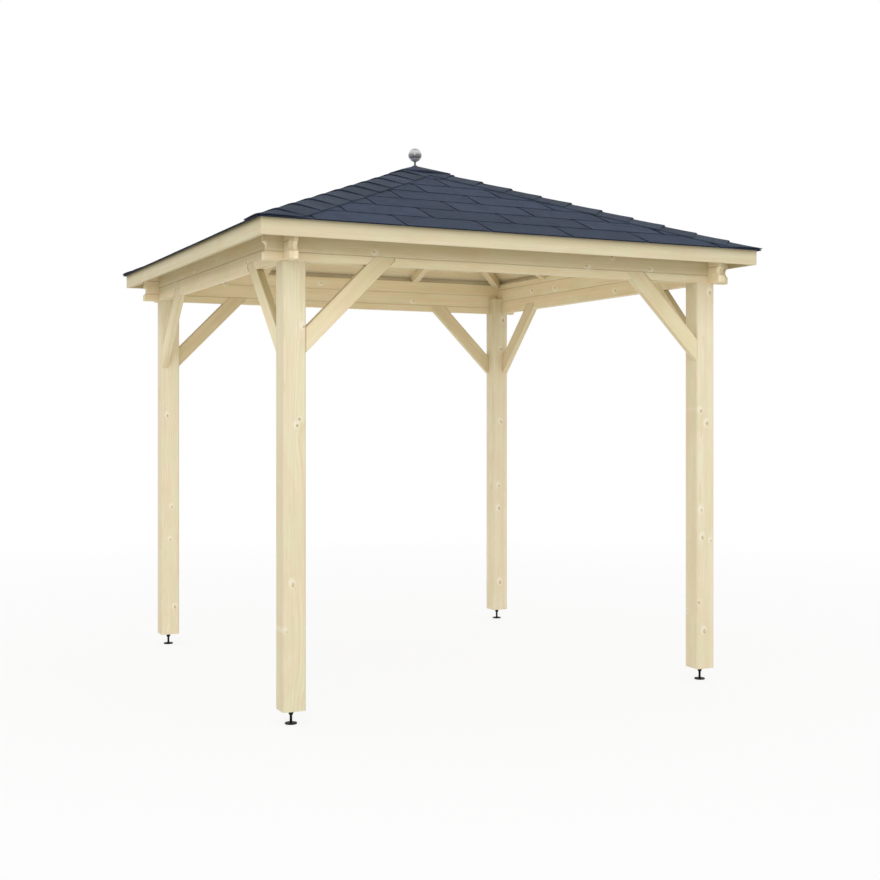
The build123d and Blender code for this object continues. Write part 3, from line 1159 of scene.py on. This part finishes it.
def studio_floor():
    """A pale floor that fades to white away from the building, and is clear from below."""
    mesh = bpy.data.meshes.new("studio_floor")
    corners = [(x * FLOOR_HALF, y * FLOOR_HALF, 0) for x, y in ((-1, -1), (1, -1), (1, 1), (-1, 1))]
    mesh.from_pydata(corners, [], [(0, 1, 2, 3)])
    floor = bpy.data.objects.new("studio_floor", mesh)
    bpy.context.scene.collection.objects.link(floor)
    g = Graph("studio_floor")
    g.tree.nodes.remove(g.shader)
    diffuse = g.add("ShaderNodeBsdfDiffuse", {"Color": FLOOR_GREY})
    white = g.add("ShaderNodeEmission", {"Color": WHITE, "Strength": 1.0})
    fade = g.span(g.vector("LENGTH", g.place()), *FLOOR_FADE)
    seen = g.add("ShaderNodeLightPath").outputs["Is Camera Ray"]
    share = g.math("MULTIPLY", fade, seen)
    blend = g.add("ShaderNodeMixShader", {0: share, 1: diffuse.outputs[0], 2: white.outputs[0]})
    below = g.add("ShaderNodeNewGeometry").outputs["Backfacing"]
    clear = g.add("ShaderNodeBsdfTransparent")
    sided = g.add("ShaderNodeMixShader", {0: below, 1: blend.outputs[0], 2: clear.outputs[0]})
    g.put(g.tree.nodes["Material Output"].inputs["Surface"], sided.outputs[0])
    mesh.materials.append(g.material)


def studio_world():
    """Plain white on all sides, which lights the building softly."""
    world = bpy.data.worlds.new("studio")
    bpy.context.scene.world = world
    world.use_nodes = True
    background = world.node_tree.nodes["Background"]
    background.inputs["Color"].default_value = WHITE
    background.inputs["Strength"].default_value = 1.0


def soft_lamp(name, place, target, size, power):
    """A square lamp of some width, turned to a point."""
    data = bpy.data.lights.new(name, "AREA")
    data.shape = "SQUARE"
    data.size = size
    data.energy = power
    lamp = bpy.data.objects.new(name, data)
    lamp.location = place
    lamp.rotation_euler = (Vector(target) - Vector(place)).to_track_quat("-Z", "Y").to_euler()
    bpy.context.scene.collection.objects.link(lamp)


# Camera as solved from the edges of posts and eaves
CAMERA_PLACE = (-3.3466, -7.3276, 1.5316)
CAMERA_TURN = math.radians(25.8286)
CAMERA_LENS = 52.97
CAMERA_SENSOR = 36.0
CAMERA_SHIFT = (-0.0045, -0.0300)


def photo_camera():
    """A level camera where the photo was taken from."""
    data = bpy.data.cameras.new("photo_camera")
    data.lens = CAMERA_LENS
    data.sensor_width = CAMERA_SENSOR
    data.shift_x, data.shift_y = CAMERA_SHIFT
    camera = bpy.data.objects.new("photo_camera", data)
    camera.location = CAMERA_PLACE
    camera.rotation_euler = (math.radians(90), 0, -CAMERA_TURN)
    bpy.context.scene.collection.objects.link(camera)
    bpy.context.scene.camera = camera


dress_timber()
dress_roof()
dress_metal()
studio_floor()
studio_world()
soft_lamp("key", place=(-4.5, -8.5, 5.0), target=(0, 0, 1.5), size=5.0, power=130.0)
photo_camera()

bpy.context.scene.view_settings.view_transform = "Standard"
